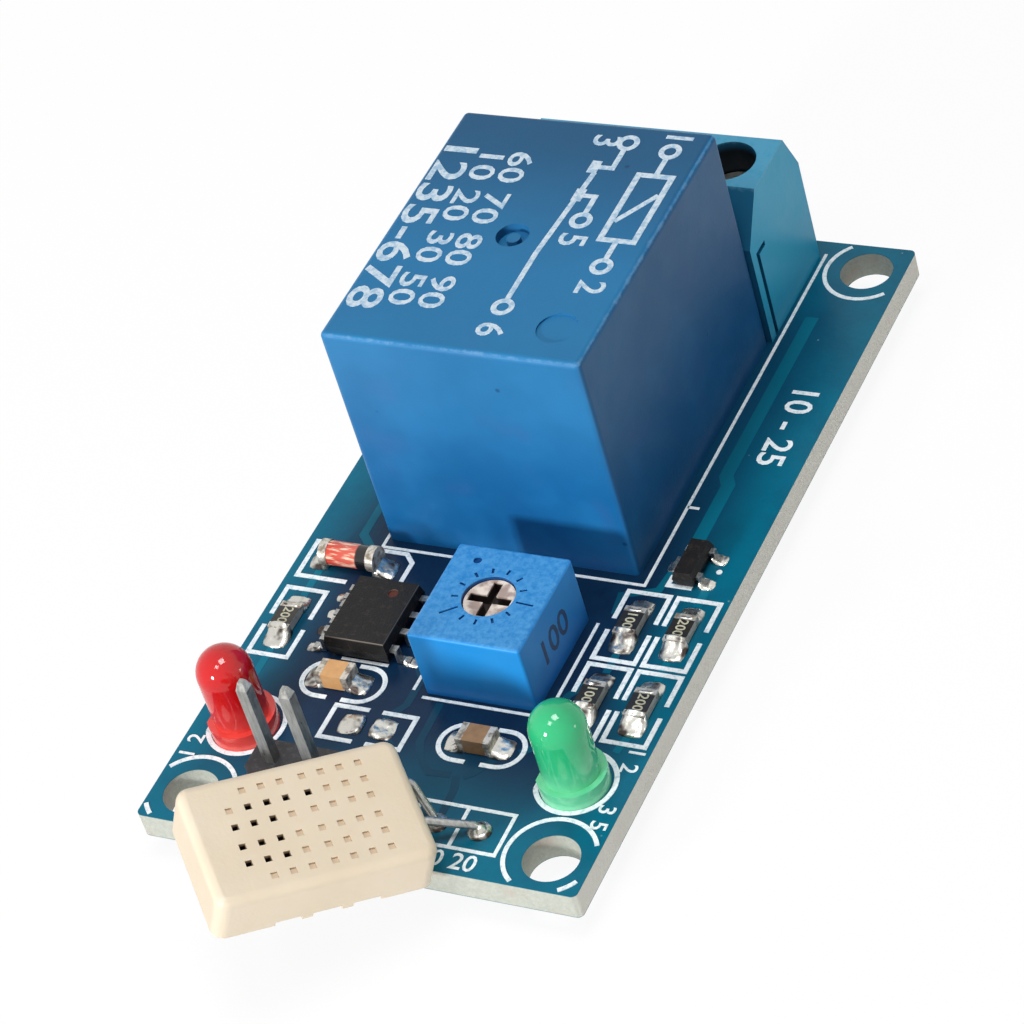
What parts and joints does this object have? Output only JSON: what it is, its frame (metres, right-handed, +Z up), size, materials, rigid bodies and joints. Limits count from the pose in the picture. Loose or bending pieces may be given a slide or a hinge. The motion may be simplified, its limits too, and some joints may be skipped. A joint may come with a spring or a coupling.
{
  "type": "sensor relay module",
  "caption": "Relay module on a small board, with a perforated sensor, a trimmer, two lamps, supply pins and screw terminals.",
  "frame": {"origin": "centre of the four mounting holes, on the board's underside", "axes": "+Z up out of the component side, +Y from the sensor to the screw terminals, +X to the right seen from the sensor end"},
  "size_m": [0.026, 0.059, 0.0185],
  "materials": {
    "board_laminate": "glossy solder mask over glass-fibre laminate",
    "relay_blue": "moulded, satin to gloss",
    "terminal_blue": "moulded, satin",
    "trimmer_blue": "moulded, satin",
    "trimmer_rotor": "moulded, matte",
    "red_epoxy": "cast tinted epoxy",
    "green_epoxy": "cast tinted epoxy",
    "black_moulding": "moulded, matte",
    "tinned_metal": "tin plated",
    "solder": "bright solder",
    "screw_steel": "zinc plated",
    "copper_winding": "enamelled wire",
    "soft_iron": "plated iron",
    "coil_plastic": "moulded, matte",
    "contact_alloy": "copper alloy strip",
    "resistor_glaze": "black glaze over ceramic",
    "capacitor_ceramic": "bare ceramic",
    "diode_glass": "tinted glass",
    "sensor_cream": "moulded, matte",
    "sensing_plate": "dark coated ceramic"
  },
  "bodies": {
    "root": {"capacitor_1": "capacitor_ceramic", "capacitor_2": "capacitor_ceramic", "capacitor_ends": "tinned_metal", "chip_body": "black_moulding", "chip_leads": "tinned_metal", "circuit_board": "board_laminate", "diode_ends": "tinned_metal", "diode_glass": "diode_glass", "green_lamp_leads": "tinned_metal", "green_lamp_lens": "green_epoxy", "header_base": "black_moulding", "header_pins": "tinned_metal", "red_lamp_leads": "tinned_metal", "red_lamp_lens": "red_epoxy", "relay_base": "coil_plastic", "relay_bobbin": "coil_plastic", "relay_coil_pins": "tinned_metal", "relay_common_strip": "contact_alloy", "relay_contact_lower": "contact_alloy", "relay_contact_upper": "contact_alloy", "relay_core": "soft_iron", "relay_cover": "relay_blue", "relay_winding": "copper_winding", "relay_yoke": "soft_iron", "resistor_1": "resistor_glaze", "resistor_2": "resistor_glaze", "resistor_3": "resistor_glaze", "resistor_4": "resistor_glaze", "resistor_5": "resistor_glaze", "resistor_ends": "tinned_metal", "sensor_back": "sensor_cream", "sensor_cover": "sensor_cream", "sensor_leads": "tinned_metal", "sensor_plate": "sensing_plate", "solder_top": "solder", "solder_under": "solder", "terminal_housing": "terminal_blue", "terminal_pin_1": "tinned_metal", "terminal_pin_2": "tinned_metal", "terminal_pin_3": "tinned_metal", "transistor_body": "black_moulding", "transistor_leads": "tinned_metal", "trimmer_housing": "trimmer_blue", "trimmer_pins": "tinned_metal", "trimmer_track": "sensing_plate"},
    "screw_1": {"terminal_screw_1": "screw_steel"},
    "clamp_1": {"terminal_clamp_1": "screw_steel"},
    "screw_2": {"terminal_screw_2": "screw_steel"},
    "clamp_2": {"terminal_clamp_2": "screw_steel"},
    "screw_3": {"terminal_screw_3": "screw_steel"},
    "clamp_3": {"terminal_clamp_3": "screw_steel"},
    "trimmer_turn": {"trimmer_rotor": "trimmer_rotor", "trimmer_wiper": "contact_alloy"},
    "armature": {"relay_armature": "soft_iron", "relay_contact_arm": "contact_alloy"}
  },
  "joints": [
    {"name": "screw_1_turn", "type": "hinge", "parent": "root", "child": "screw_1", "pos_m": [-0.00523, 0.0203, 0.009], "axis": [0, 0, -1], "range_deg": [0, 1152]},
    {"name": "clamp_1_rise", "type": "slide", "parent": "root", "child": "clamp_1", "axis": [0, 0, 1], "range_m": [0, 0.0016]},
    {"name": "screw_2_turn", "type": "hinge", "parent": "root", "child": "screw_2", "pos_m": [-0.00015, 0.0203, 0.009], "axis": [0, 0, -1], "range_deg": [0, 1152]},
    {"name": "clamp_2_rise", "type": "slide", "parent": "root", "child": "clamp_2", "axis": [0, 0, 1], "range_m": [0, 0.0016]},
    {"name": "screw_3_turn", "type": "hinge", "parent": "root", "child": "screw_3", "pos_m": [0.00493, 0.0203, 0.009], "axis": [0, 0, -1], "range_deg": [0, 1152]},
    {"name": "clamp_3_rise", "type": "slide", "parent": "root", "child": "clamp_3", "axis": [0, 0, 1], "range_m": [0, 0.0016]},
    {"name": "trimmer_turn", "type": "hinge", "parent": "root", "child": "trimmer_turn", "pos_m": [0.00241, -0.01006, 0.0045], "axis": [0, 0, 1], "range_deg": [-120, 120]},
    {"name": "armature_pull", "type": "hinge", "parent": "root", "child": "armature", "pos_m": [-0.0005, 0.01313, 0.01358], "axis": [1, 0, 0], "range_deg": [0, 2], "stiffness_Nm_per_rad": 0.001, "springref_deg": -11.46}
  ],
  "couplings": [
    {"joint": "screw_1_turn", "follows": "clamp_1_rise", "rad_per_m": 12566},
    {"joint": "screw_2_turn", "follows": "clamp_2_rise", "rad_per_m": 12566},
    {"joint": "screw_3_turn", "follows": "clamp_3_rise", "rad_per_m": 12566}
  ]
}
